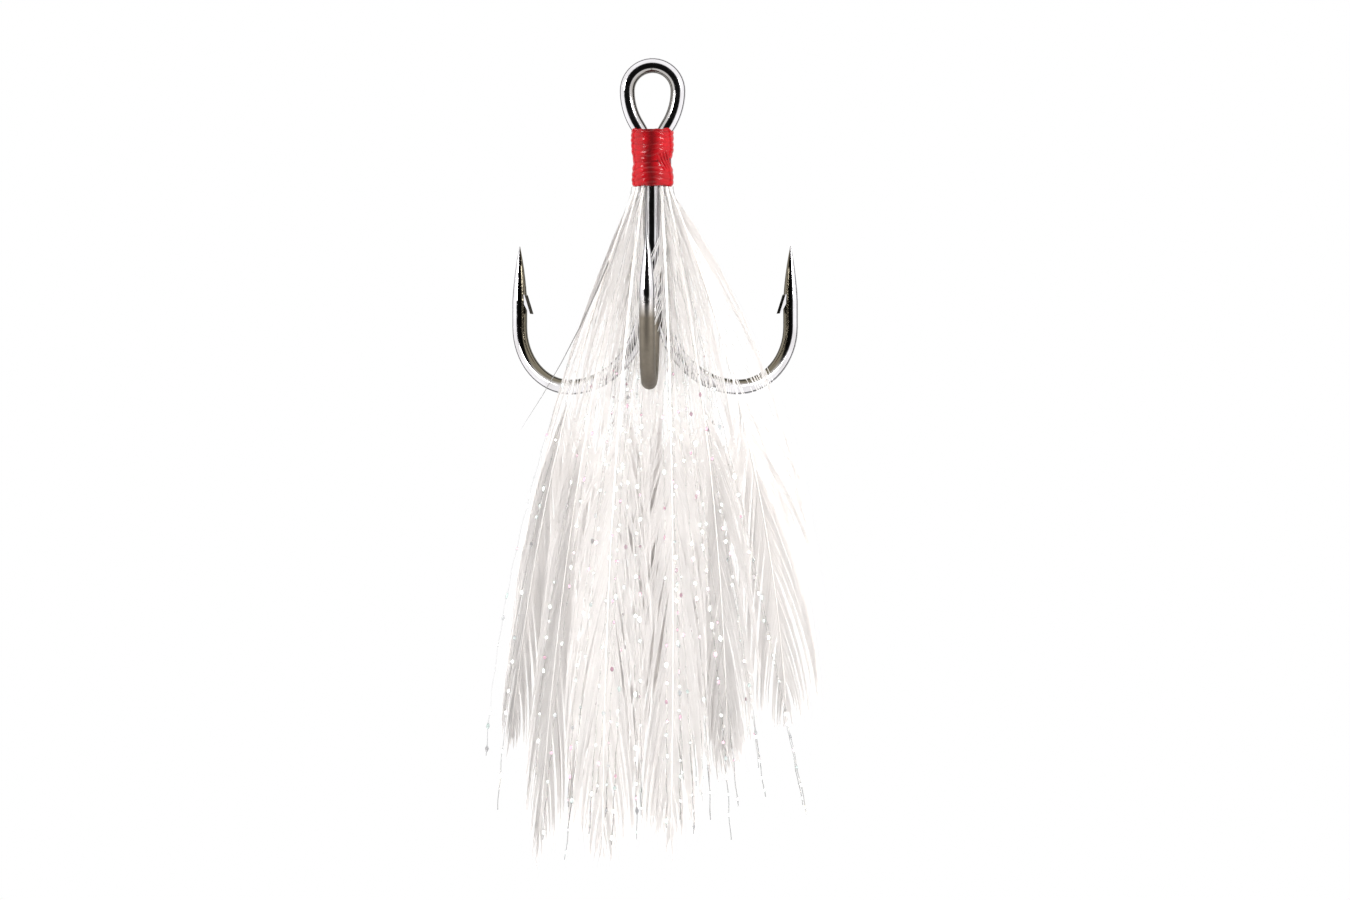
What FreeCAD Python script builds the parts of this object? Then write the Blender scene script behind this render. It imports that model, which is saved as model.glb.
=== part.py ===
"""Dressed treble hook: a double hook and a third hook brazed into one shank, with hackle feathers
and flash strands bound on below the line eye. Millimetres, +Z up, origin at the centre of the eye."""

import FreeCAD, Part
import math
import os

Vec = FreeCAD.Vector

# ------------------------------------------------------------------ hook wire
WIRE_D = 1.10  # diameter of the wire that all three hooks are bent from
WIRE_GAP = 0.01  # film of solder between touching wires

# Line eye: a teardrop loop in the plane y = 0
EYE_R = 1.82  # centreline radius of its round part
LIMB_R = 4.69  # centreline radius of each limb below the round part
LIMB_TURN = 33.3  # degrees that a limb turns inwards before it turns back down

# Hook profile, in the vertical plane through the shank's axis and one hook
SHANK_LENGTH = 10.65  # straight wire, from the foot of the eye to the bend
BEND_R = 6.21  # centreline radius of the bend next to the shank
THROAT_R = 4.43  # centreline radius of the bend next to the spear
SPEAR_LENGTH = 5.82  # from the end of the bend to the point
POINT_LENGTH = 3.93  # ground taper at the point
POINT_FULLNESS = 0.66  # radius half way along the taper, as a share of the wire's
POINT_TIP_R = 0.02  # radius left at the very tip
FACET_LENGTH = 2.95  # the two flats ground on the inner side of the point
FACET_TIP = 0.03  # from the tip's centre to the flats
FACET_SPREAD = 50.0  # degrees from the hook's plane to each flat's normal
FACET_DEPTH = 0.98  # height of the flats' lower ends, as a share of the wire's radius

# Barb: a sliver raised from the inner side of the spear
BARB_ROOT_BELOW_TIP = 3.55  # from the point down to the barb's upper root
BARB_LENGTH = 1.35  # from the root down to the barb's tip
BARB_REACH = 0.48  # how far the tip stands off the wire
BARB_THICK = 0.42  # height of its foot along the wire
BARB_WIDTH = 0.46  # across the wire
BARB_SINK = 0.16  # depth of its foot inside the wire
BARB_BACK_REACH = 0.72  # corner behind the tip, as a share of the reach
BARB_BACK_DROP = 0.96  # the same corner, as a share of the length
BARB_HEEL = 1.7  # lower end of the foot on the wire's surface, in thicknesses

# Third hook
THIRD_TOP_BELOW_WRAP = 0.60  # its plain end, under the binding

# Braze in the grooves between the wires
BRAZE_HEIGHT = 0.32  # above the line through two wires' centres
BRAZE_ABOVE_BEND = 0.90  # bare wire left above the bends
BRAZE_START = 0.90  # inner end of each groove's fillet, as a share of the valley's radius
BRAZE_HALF_WIDTH = 0.35  # at the surface, as a share of the wire's radius

# ------------------------------------------------------------------ binding
WRAP_ABOVE_SHANK = 1.40  # how far the binding climbs the limbs of the eye
WRAP_LENGTH = 4.07
THREAD_WALL = 0.20  # thickness of the bound thread
THREAD_TURNS = 12
THREAD_RELIEF = 0.05  # depth of the valley between two turns
WAIST_DEPTH = 0.15  # the binding is pulled in round its waist
WAIST_BELOW_TOP = 2.25  # to the middle of the waist
CROSS_COUNT = 4  # threads that slant across the waist on the front
CROSS_WIDTH = 0.17
CROSS_WALL = 0.12
CROSS_PITCH = 0.24
CROSS_SLOPE = 58.0  # degrees from level
CROSS_AZIMUTH = -62.0
CROSS_LENGTH = 1.45
CROSS_MARGIN = 0.03  # waist left above and below the slanting threads

# ------------------------------------------------------------------ feathers
QUILL_R = 0.13  # where the quill is bound
QUILL_TIP_R = 0.06
QUILL_CLEAR = 0.02  # from the quills to the thread
QUILL_TOP_BELOW_WRAP = 0.70
VANE_THICK = 0.08
VANE_START = 1.0  # bare quill below the binding
VANE_BEYOND_QUILL = 0.9
VANE_BROADEST = 0.70  # share of the stem where the vane reaches full width
VANE_NARROWS = 0.88  # share of the stem where it starts to close
VANE_TIP_SHARE = 0.35  # width left at the quill's end
WIRE_CLEAR = 0.10  # barbs part this far from the hooks that pass through them
LEAN_SPAN = 48.0  # drop over which each lean below is counted

# name: azimuth of the quill round the shank, tip across, tip drop, belly across, belly drop, lean
# to the back, width of the left and of the right half vane. Drops are below the binding.
FEATHERS = {
    "centre_left": (238.0, -3.4, 47.9, -3.4, 21.0, -3.0, 2.6, 2.8),
    "centre_right": (-56.0, 1.4, 46.7, 1.9, 21.0, -2.3, 2.6, 2.6),
    "inner_left": (216.0, -8.0, 47.0, -6.2, 20.0, -1.6, 1.4, 2.6),
    "inner_right": (-34.0, 5.4, 40.6, 5.0, 19.0, -1.0, 2.8, 2.4),
    "outer_left": (194.0, -10.1, 39.8, -8.0, 18.0, -0.5, 1.0, 3.0),
    "outer_right": (-12.0, 9.6, 38.2, 8.5, 18.0, 0.0, 3.4, 3.4),
    "back_left": (110.0, -4.8, 43.6, -1.5, 20.0, 2.3, 2.6, 2.6),
    "back_right": (62.0, 5.0, 41.6, 1.4, 20.0, 2.0, 2.6, 2.6),
    "back_centre": (86.0, 0.4, 45.6, 0.0, 21.0, 3.7, 2.8, 2.8),
}

# ------------------------------------------------------------------ flash strands
STRAND_THICK = 0.05
STRAND_TOP_WIDTH = 0.10
STRAND_WIDTH = 0.28
STRAND_OUTSIDE_QUILLS = 0.065  # inner ring of strands, beyond the quills
STRAND_RING_STEP = 0.08  # from the inner ring to the outer one

# name: for each strand, ring, azimuth round the shank, tip across, tip drop, lean to the back
FLASH = {
    "front_left": [
        ("outer", 240.0, -10.9, 44.9, -5.0),
        ("outer", 247.0, -7.7, 47.0, -5.0),
        ("outer", 254.0, -6.1, 48.4, -5.0),
        ("outer", 261.0, -4.3, 46.6, -5.0),
        ("inner", 240.0, -2.6, 47.4, -3.8),
        ("inner", 246.0, -1.2, 47.0, -3.8),
    ],
    "front_right": [
        ("outer", 300.0, 11.5, 45.2, -5.0),
        ("outer", 293.0, 8.5, 44.0, -5.0),
        ("outer", 286.0, 5.8, 47.0, -5.0),
        ("outer", 279.0, 4.3, 45.6, -5.0),
        ("inner", 300.0, 2.8, 46.6, -3.8),
        ("inner", 294.0, 1.2, 46.2, -3.8),
    ],
    "sides": [
        ("outer", 182.0, -8.6, 43.4, 0.5),
        ("outer", 176.0, -5.4, 45.2, 1.0),
        ("outer", -2.0, 7.6, 42.0, 0.9),
        ("outer", 4.0, 3.6, 44.4, 1.3),
    ],
    "back": [
        ("outer", 122.0, -4.2, 42.4, 4.8),
        ("outer", 109.6, -2.6, 44.0, 4.8),
        ("outer", 97.2, -0.9, 45.4, 4.8),
        ("outer", 82.8, 0.8, 44.6, 4.8),
        ("outer", 70.4, 2.4, 45.8, 4.8),
        ("outer", 58.0, 3.9, 43.2, 4.8),
    ],
}

# ------------------------------------------------------------------ values that follow
wire_r = WIRE_D / 2
ring_r = (WIRE_D + WIRE_GAP) / math.sqrt(3)  # of the three wires' centres
shank_x = ring_r * math.cos(math.radians(30))
axis_y = -ring_r * math.sin(math.radians(30))  # the shank's axis, in front of the eye's plane
turn = math.radians(LIMB_TURN)
limb_x = EYE_R - LIMB_R * (1 - math.cos(turn))
limb_z = -LIMB_R * math.sin(turn)
foot_r = (limb_x - shank_x) / (1 - math.cos(turn))  # arc that brings a limb back to vertical
shank_top_z = limb_z - foot_r * math.sin(turn)
bend_top_z = shank_top_z - SHANK_LENGTH
bend_low_z = bend_top_z - BEND_R
bend_low_r = ring_r + BEND_R
spear_r = bend_low_r + THROAT_R
spear_low_z = bend_low_z + THROAT_R
tip_z = spear_low_z + SPEAR_LENGTH
wrap_top_z = shank_top_z + WRAP_ABOVE_SHANK
wrap_low_z = wrap_top_z - WRAP_LENGTH
third_top_z = wrap_top_z - THIRD_TOP_BELOW_WRAP
quill_ring_r = ring_r + wire_r
wrap_in_r = quill_ring_r + QUILL_R + QUILL_CLEAR
wrap_out_r = wrap_in_r + THREAD_WALL
strand_inner_r = quill_ring_r + QUILL_R + STRAND_OUTSIDE_QUILLS
strand_outer_r = strand_inner_r + STRAND_RING_STEP
cross_slope = math.radians(CROSS_SLOPE)
cross_spread = CROSS_WIDTH + (CROSS_COUNT - 1) * CROSS_PITCH
waist_half = (
    CROSS_LENGTH * math.sin(cross_slope) + cross_spread * math.cos(cross_slope)
) / 2 + CROSS_MARGIN
waist_z = wrap_top_z - WAIST_BELOW_TOP
waist_r = wrap_out_r - WAIST_DEPTH
HOOKS = {"front": -90.0, "right": 30.0, "left": 150.0}


def around(azimuth, radius, z):
    """Point at a radius from the shank's axis."""
    a = math.radians(azimuth)
    return Vec(radius * math.cos(a), axis_y + radius * math.sin(a), z)


def inward(azimuth):
    a = math.radians(azimuth)
    return Vec(-math.cos(a), -math.sin(a), 0)


def sideways(azimuth):
    a = math.radians(azimuth)
    return Vec(-math.sin(a), math.cos(a), 0)


def arc(start, middle, end):
    return Part.Arc(start, middle, end).toShape()


def line(start, end):
    return Part.LineSegment(start, end).toShape()


def swept_wire(edges, start, direction):
    """Round wire along tangent lines and arcs."""
    circle = Part.Wire(Part.makeCircle(wire_r, start, direction))
    return Part.Wire(edges).makePipeShell([circle], True, False)


# ------------------------------------------------------------------ hooks
def hook_edges(azimuth, top_z):
    """Centreline from the shank's top to the foot of the ground point."""
    half = math.sqrt(0.5)  # middle of a quarter turn
    taper_z = tip_z - POINT_LENGTH
    mid_in = around(azimuth, bend_low_r - BEND_R * half, bend_top_z - BEND_R * half)
    mid_out = around(azimuth, bend_low_r + THROAT_R * half, spear_low_z - THROAT_R * half)
    shank_end = around(azimuth, ring_r, bend_top_z)
    lowest = around(azimuth, bend_low_r, bend_low_z)
    spear_start = around(azimuth, spear_r, spear_low_z)
    return [
        line(around(azimuth, ring_r, top_z), shank_end),
        arc(shank_end, mid_in, lowest),
        arc(lowest, mid_out, spear_start),
        line(spear_start, around(azimuth, spear_r, taper_z)),
    ]


def ground_point(azimuth):
    """Tapered end of the spear, with two flats on its inner side."""
    taper_z = tip_z - POINT_LENGTH
    side = sideways(azimuth)

    def at(offset, z):
        return around(azimuth, spear_r, z) + side * offset

    outline = [
        line(at(0, taper_z), at(wire_r, taper_z)),
        arc(
            at(wire_r, taper_z),
            at(wire_r * POINT_FULLNESS, taper_z + POINT_LENGTH / 2),
            at(POINT_TIP_R, tip_z),
        ),
        line(at(POINT_TIP_R, tip_z), at(0, tip_z)),
        line(at(0, tip_z), at(0, taper_z)),
    ]
    face = Part.Face(Part.Wire(outline))
    point = face.revolve(around(azimuth, spear_r, 0), Vec(0, 0, 1), 360)
    share = math.radians(FACET_SPREAD)
    for sign in (-1, 1):
        normal = inward(azimuth) * math.cos(share) + side * (sign * math.sin(share))
        point = point.cut(flat_cutter(around(azimuth, spear_r, tip_z), normal))
    return point


def flat_cutter(tip, normal):
    """Wedge that leaves a flat from the tip to FACET_LENGTH below it."""
    reach = WIRE_D * 2
    along = normal.cross(Vec(0, 0, 1))
    depth = wire_r * FACET_DEPTH
    corners = [
        tip + normal * FACET_TIP,
        tip + normal * depth - Vec(0, 0, FACET_LENGTH),
        tip + normal * reach - Vec(0, 0, FACET_LENGTH),
        tip + normal * reach + Vec(0, 0, reach),
        tip + normal * FACET_TIP + Vec(0, 0, reach),
    ]
    ring = [c - along * reach for c in corners]
    return Part.Face(Part.makePolygon(ring + ring[:1])).extrude(along * (2 * reach))


def barb(azimuth):
    """Sliver that points back down the spear, towards the shank."""
    root_z = tip_z - BARB_ROOT_BELOW_TIP
    inner_r = spear_r - wire_r
    corners = [
        (inner_r + BARB_SINK, root_z + BARB_SINK),
        (inner_r, root_z),
        (inner_r - BARB_REACH, root_z - BARB_LENGTH),
        (inner_r - BARB_REACH * BARB_BACK_REACH, root_z - BARB_LENGTH * BARB_BACK_DROP),
        (inner_r, root_z - BARB_THICK * BARB_HEEL),
        (inner_r + BARB_SINK, root_z - BARB_THICK),
    ]
    ring = [around(azimuth, r, z) - sideways(azimuth) * (BARB_WIDTH / 2) for r, z in corners]
    face = Part.Face(Part.makePolygon(ring + ring[:1]))
    return face.extrude(sideways(azimuth) * BARB_WIDTH)


def double_hook():
    """Eye and the two rear hooks, bent from one wire."""
    left, right = HOOKS["left"], HOOKS["right"]
    centre_left = Vec(-EYE_R + LIMB_R, 0, 0)
    foot_left = Vec(-shank_x - foot_r, 0, shank_top_z)

    def limb(sign):
        """Edges from the shank up to the round part, mirrored by sign."""
        half = turn / 2
        top = Vec(sign * EYE_R, 0, 0)
        top_mid = Vec(
            sign * (LIMB_R * math.cos(half) - centre_left.x), 0, -LIMB_R * math.sin(half)
        )
        joint = Vec(sign * limb_x, 0, limb_z)
        foot_mid = Vec(
            sign * (-foot_left.x - foot_r * math.cos(half)),
            0,
            shank_top_z + foot_r * math.sin(half),
        )
        foot = Vec(sign * shank_x, 0, shank_top_z)
        return arc(foot, foot_mid, joint), arc(joint, top_mid, top)

    left_foot, left_top = limb(-1)
    right_foot, right_top = limb(1)
    crown = arc(Vec(-EYE_R, 0, 0), Vec(0, 0, EYE_R), Vec(EYE_R, 0, 0))
    edges = list(reversed(hook_edges(left, shank_top_z)))
    edges += [left_foot, left_top, crown, right_top, right_foot]
    edges += hook_edges(right, shank_top_z)
    start = around(left, spear_r, tip_z - POINT_LENGTH)
    wire = swept_wire(Part.__sortEdges__(edges), start, Vec(0, 0, 1))
    pieces = [ground_point(left), ground_point(right), barb(left), barb(right)]
    return wire.fuse(pieces).removeSplitter()


def third_hook():
    """Single hook laid in the front groove of the double hook."""
    front = HOOKS["front"]
    start = around(front, ring_r, third_top_z)
    wire = swept_wire(hook_edges(front, third_top_z), start, Vec(0, 0, 1))
    return wire.fuse([ground_point(front), barb(front)]).removeSplitter()


def braze_fillets(hooks):
    """Solder in the core and in the three grooves of the shank."""
    top, low = shank_top_z - WIRE_GAP, bend_top_z + BRAZE_ABOVE_BEND
    valley_r = ring_r / 2
    core = Part.makeCylinder(ring_r - wire_r + WIRE_GAP, top - low, around(0, 0, low))
    fillets = [core]
    for azimuth in HOOKS.values():
        groove = azimuth + 180
        out = around(groove, valley_r + BRAZE_HEIGHT, low)
        width = sideways(groove) * (wire_r * BRAZE_HALF_WIDTH)
        inner = around(groove, valley_r * BRAZE_START, low)
        ring = [inner, out - width, out + width]
        fillets.append(Part.Face(Part.makePolygon(ring + ring[:1])).extrude(Vec(0, 0, top - low)))
    return Part.makeCompound([solid_of(f.cut(hooks)) for f in fillets])


def solid_of(shape, least=0.05):
    """The solids of a cut shape, without crumbs under a share of the largest."""
    largest = max(s.Volume for s in shape.Solids)
    kept = [s for s in shape.Solids if s.Volume > least * largest]
    return kept[0] if len(kept) == 1 else Part.makeCompound(kept)


# ------------------------------------------------------------------ binding
def turn_radius(z):
    """Outside of the binding, pulled in round the waist."""
    return waist_r if abs(z - waist_z) < waist_half else wrap_out_r


def turn_edges(low_z, high_z, count):
    """Ridged outline of turns that lie side by side."""
    pitch = (high_z - low_z) / count
    radius = turn_radius((low_z + high_z) / 2)
    edges = []
    for i in range(count):
        z = low_z + i * pitch
        valley = radius - THREAD_RELIEF
        edges.append(
            arc(Vec(valley, 0, z), Vec(radius, 0, z + pitch / 2), Vec(valley, 0, z + pitch))
        )
    return edges


def thread_wrap(hooks):
    """Side-by-side turns of one thread, as a ring with a ridge for each turn."""
    levels = [wrap_low_z, waist_z - waist_half, waist_z + waist_half, wrap_top_z]
    outline = [Vec(wrap_in_r, 0, wrap_low_z)]
    edges = []
    for low, high in zip(levels, levels[1:]):
        count = max(1, round(THREAD_TURNS * (high - low) / WRAP_LENGTH))
        stretch = turn_edges(low, high, count)
        start = stretch[0].Vertexes[0].Point
        if (start - outline[-1]).Length > 0:
            edges.append(line(outline[-1], start))
        edges += stretch
        outline.append(stretch[-1].Vertexes[-1].Point)
    corner = Vec(wrap_in_r, 0, wrap_top_z)
    edges.append(line(outline[-1], corner))
    edges.append(line(corner, outline[0]))
    ring = Part.Face(Part.Wire(edges)).revolve(Vec(0, 0, 0), Vec(0, 0, 1), 360)
    ring.translate(Vec(0, axis_y, 0))
    return solid_of(ring.cut(hooks))


def thread_crossings():
    """Threads that slant across the waist, lying on the turns below them."""
    low = around(0, 0, waist_z - waist_half)
    shell = Part.makeCylinder(waist_r + CROSS_WALL, 2 * waist_half, low)
    shell = shell.cut(Part.makeCylinder(waist_r, 2 * waist_half, low))
    out = -inward(CROSS_AZIMUTH)
    level = sideways(CROSS_AZIMUTH)
    along = level * math.cos(cross_slope) - Vec(0, 0, math.sin(cross_slope))
    across = level * math.sin(cross_slope) + Vec(0, 0, math.cos(cross_slope))
    crossings = []
    for i in range(CROSS_COUNT):
        shift = (i - (CROSS_COUNT - 1) / 2) * CROSS_PITCH
        middle = around(CROSS_AZIMUTH, 0, waist_z) + across * shift
        corner = middle - along * (CROSS_LENGTH / 2) - across * (CROSS_WIDTH / 2)
        step, width = along * CROSS_LENGTH, across * CROSS_WIDTH
        ring = [corner, corner + step, corner + step + width, corner + width]
        slab = Part.Face(Part.makePolygon(ring + ring[:1])).extrude(out * (wrap_out_r * 2))
        crossings.append(solid_of(shell.common(slab)))
    return Part.makeCompound(crossings)


def wrap_cement(hooks, quills, braze):
    """Head cement that fills the binding between the wires, the quills and the thread."""
    body = Part.makeCylinder(wrap_in_r, WRAP_LENGTH, around(0, 0, wrap_low_z))
    return solid_of(body.cut([hooks, *quills, braze]))


# ------------------------------------------------------------------ feathers
def lean_y(y0, lean, z):
    return y0 + lean * (wrap_low_z - z) / LEAN_SPAN


def stem_point(start, lean, tip, belly, share):
    """Point on a feather's stem, a parabola in a plane that leans from the shank."""
    keep, mix, end = (1 - share) ** 2, 2 * share * (1 - share), share**2
    x = keep * start.x + mix * belly[0] + end * tip[0]
    z = wrap_low_z - mix * belly[1] - end * tip[1]
    return Vec(x, lean_y(start.y, lean, z), z)


def quill(start, lean, tip, belly, steps=8):
    """Tapered stem, straight under the binding and curved below it."""
    top = Vec(start.x, start.y, wrap_top_z - QUILL_TOP_BELOW_WRAP)
    points = [top] + [stem_point(start, lean, tip, belly, i / steps) for i in range(steps + 1)]
    sections = []
    for i, p in enumerate(points):
        before, after = points[max(i - 1, 0)], points[min(i + 1, len(points) - 1)]
        share = max(i - 1, 0) / steps
        radius = QUILL_R + (QUILL_TIP_R - QUILL_R) * share
        heading = Vec(0, 0, -1) if i < 2 else after - before
        sections.append(Part.Wire(Part.makeCircle(radius, p, heading)))
    return Part.makeLoft(sections, True, True)


def half_width(full, share):
    """Width of a half vane at a share of the stem."""
    if share < VANE_BROADEST:
        return full * math.sin(math.pi / 2 * share / VANE_BROADEST)
    if share < VANE_NARROWS:
        return full
    close = (share - VANE_NARROWS) / (1 - VANE_NARROWS)
    return full * (1 - (1 - VANE_TIP_SHARE) * close)


def vane(start, lean, tip, belly, widths, steps=14):
    """Flat web of barbs on both sides of the stem."""
    first = VANE_START / tip[1]
    shares = [first + (1 - first) * i / steps for i in range(steps + 1)]
    stem = [stem_point(start, lean, tip, belly, s) for s in shares]
    left = [p - Vec(half_width(widths[0], s), 0, 0) for p, s in zip(stem, shares)]
    right = [p + Vec(half_width(widths[1], s), 0, 0) for p, s in zip(stem, shares)]
    end_z = stem[-1].z - VANE_BEYOND_QUILL
    end = Vec(stem[-1].x, lean_y(start.y, lean, end_z), end_z)
    ring = left + [end] + list(reversed(right))
    ring = [p - Vec(0, VANE_THICK / 2, 0) for p in ring]
    return Part.Face(Part.makePolygon(ring + ring[:1])).extrude(Vec(0, VANE_THICK, 0))


def hook_corridor(azimuth):
    """Space that the barbs leave on both sides of a hook."""
    half = wire_r + WIRE_CLEAR
    reach = spear_r + WIRE_D
    height = wrap_low_z - (bend_low_z - half)
    corner = around(azimuth, 0, bend_low_z - half) - sideways(azimuth) * half
    step, width = inward(azimuth) * -reach, sideways(azimuth) * (2 * half)
    ring = [corner, corner + step, corner + step + width, corner + width]
    return Part.Face(Part.makePolygon(ring + ring[:1])).extrude(Vec(0, 0, height))


def feathers():
    """Quill and vane of each feather, by name."""
    corridors = [hook_corridor(a) for a in HOOKS.values()]
    shank = Part.makeCylinder(
        quill_ring_r + WIRE_CLEAR, wrap_low_z - bend_top_z, around(0, 0, bend_top_z)
    )
    quills, vanes = {}, {}
    for name, values in FEATHERS.items():
        azimuth, tip_x, tip_drop, belly_x, belly_drop, lean, left, right = values
        start = around(azimuth, quill_ring_r, wrap_low_z)
        tip, belly = (tip_x, tip_drop), (belly_x, belly_drop)
        quills[name] = quill(start, lean, tip, belly)
        web = vane(start, lean, tip, belly, (left, right))
        vanes[name] = web.cut([quills[name], shank, *corridors])
    return quills, vanes


# ------------------------------------------------------------------ flash
def strand(ring_name, azimuth, tip_x, tip_drop, lean):
    """Flat ribbon from the lower edge of the binding to its tip."""
    ring_radius = strand_outer_r if ring_name == "outer" else strand_inner_r
    start = around(azimuth, ring_radius, wrap_low_z)
    end_z = wrap_low_z - tip_drop
    end = Vec(tip_x, lean_y(start.y, lean, end_z), end_z)
    narrow, wide = Vec(STRAND_TOP_WIDTH / 2, 0, 0), Vec(STRAND_WIDTH / 2, 0, 0)
    ring = [start - narrow, end - wide, end + wide, start + narrow]
    ring = [p - Vec(0, STRAND_THICK / 2, 0) for p in ring]
    return Part.Face(Part.makePolygon(ring + ring[:1])).extrude(Vec(0, STRAND_THICK, 0))


# ------------------------------------------------------------------ assembly
def build():
    """Every sub-part by node name."""
    nodes = {"double_hook": double_hook(), "third_hook": third_hook()}
    hooks = Part.makeCompound(list(nodes.values()))
    nodes["braze_fillets"] = braze_fillets(hooks)
    quills, vanes = feathers()
    nodes["thread_wrap"] = thread_wrap(hooks)
    nodes["thread_crossings"] = thread_crossings()
    nodes["wrap_cement"] = wrap_cement(hooks, quills.values(), nodes["braze_fillets"])
    for name in FEATHERS:
        nodes["quill_" + name] = quills[name]
        nodes["vane_" + name] = solid_of(vanes[name])
    for name, strands in FLASH.items():
        nodes["flash_" + name] = Part.makeCompound([strand(*values) for values in strands])
    return nodes


os.makedirs("parts", exist_ok=True)
for node, shape in build().items():
    shape.exportStep("parts/" + node + ".step")
    print(node, len(shape.Solids), "solids", round(shape.Volume, 4), "mm3", shape.isValid())
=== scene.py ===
"""Looks of a treble hook dressed with hackle feathers and pearl flash.

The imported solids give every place: the wires keep their own meshes and take a finish, and the
binding, the feathers and the flash strands are built here over the plain solids that they stand
for. Lengths inside the classes are in millimetres, and every mesh is written in metres.
"""

import logging
import math
from dataclasses import dataclass
from enum import Enum

import bpy
import numpy as np
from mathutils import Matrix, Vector


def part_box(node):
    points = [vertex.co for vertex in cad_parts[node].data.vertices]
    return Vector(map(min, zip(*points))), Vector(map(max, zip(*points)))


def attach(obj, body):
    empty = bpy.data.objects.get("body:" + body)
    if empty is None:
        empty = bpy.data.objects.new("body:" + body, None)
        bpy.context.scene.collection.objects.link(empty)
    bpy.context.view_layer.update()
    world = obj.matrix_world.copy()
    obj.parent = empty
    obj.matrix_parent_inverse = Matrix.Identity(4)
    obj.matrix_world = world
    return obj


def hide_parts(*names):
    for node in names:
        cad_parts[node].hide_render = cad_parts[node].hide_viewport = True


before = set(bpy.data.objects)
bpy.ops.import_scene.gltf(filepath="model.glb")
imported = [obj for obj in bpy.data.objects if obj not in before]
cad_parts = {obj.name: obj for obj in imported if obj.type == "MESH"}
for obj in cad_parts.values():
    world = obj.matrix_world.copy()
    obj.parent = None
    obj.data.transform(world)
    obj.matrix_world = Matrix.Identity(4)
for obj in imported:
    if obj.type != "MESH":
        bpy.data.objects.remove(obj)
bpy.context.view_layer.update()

LOG = logging.getLogger("treble_hook")
MM = 0.001
TINY = 1e-9
SHANK_GAP = 0.01
CORNERS = 4  # vertices round a ribbon
BODY = "root"
Colour = tuple[float, float, float]


class Side(Enum):
    """The two half vanes of a feather, as the sign of their direction across the stem."""

    LEFT = -1
    RIGHT = 1


class Ring(Enum):
    """The two layers in which flash strands lie round the quills."""

    INNER = "inner"
    OUTER = "outer"


# ---------------------------------------------------------------- meshes and node helpers
def box_mm(node: str) -> tuple[np.ndarray, np.ndarray]:
    """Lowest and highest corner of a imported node.

    Args:
        node: name of the node.

    Returns:
        The two corners, in millimetres.
    """
    low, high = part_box(node)
    return np.array(low) / MM, np.array(high) / MM


def unit(vectors: np.ndarray) -> np.ndarray:
    """Vectors of length one along the last axis."""
    return vectors / np.maximum(np.linalg.norm(vectors, axis=-1, keepdims=True), TINY)


def make_piece(
    name: str,
    points: np.ndarray,
    faces: list,
    material: bpy.types.Material,
    stands_for: list[str],
    values: dict[str, np.ndarray] | None = None,
    normals: np.ndarray | None = None,
) -> bpy.types.Object:
    """Makes a mesh piece that rides with the hook.

    Args:
        name: the piece's name.
        points: vertices in millimetres, one row each.
        faces: vertex indices of each face.
        material: its finish.
        stands_for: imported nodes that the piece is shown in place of.
        values: named numbers, one for each vertex, that the finish reads.
        normals: shading normal of each vertex, where the rounding of the facets isn't wanted.

    Returns:
        The new object.
    """
    mesh = bpy.data.meshes.new(name)
    mesh.from_pydata((points * MM).tolist(), [], faces)
    for key, numbers in (values or {}).items():
        layer = mesh.attributes.new(key, "FLOAT", "POINT")
        layer.data.foreach_set("value", np.asarray(numbers, np.float32))
    mesh.polygons.foreach_set("use_smooth", [True] * len(mesh.polygons))
    mesh.materials.append(material)
    mesh.update()
    if normals is not None:
        mesh.normals_split_custom_set_from_vertices(normals.tolist())
    piece = bpy.data.objects.new(name, mesh)
    bpy.context.scene.collection.objects.link(piece)
    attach(piece, BODY)
    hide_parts(*stands_for)
    return piece


def loft_faces(rings: int, around: int, start: int = 0) -> list[tuple[int, ...]]:
    """Faces of a closed tube whose rings follow each other in the vertex list.

    Args:
        rings: number of rings.
        around: vertices in each ring.
        start: index of the first vertex.

    Returns:
        The side faces and the two end caps.
    """
    faces = []
    for i in range(rings - 1):
        low = start + i * around
        for j in range(around):
            k = (j + 1) % around
            faces.append((low + j, low + k, low + around + k, low + around + j))
    last = start + (rings - 1) * around
    faces.append(tuple(start + j for j in reversed(range(around))))
    faces.append(tuple(last + j for j in range(around)))
    return faces


def bell(offset: np.ndarray, half: float) -> np.ndarray:
    """Smooth bump, 1 at no offset, that has sunk to about a third at the half width."""
    return np.exp(-((offset / half) ** 2))


def ribbon(line: np.ndarray, half: np.ndarray, deep: np.ndarray) -> np.ndarray:
    """Four corners of a flat ribbon at each station, in the order that loft_faces wants.

    Args:
        line: centreline.
        half: from the centreline to an edge, along normal x direction of travel.
        deep: from the centreline to the front face.

    Returns:
        The corners, with one more axis before the last.
    """
    corners = [line + half + deep, line - half + deep, line - half - deep, line + half - deep]
    return np.stack(corners, axis=-2)


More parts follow.
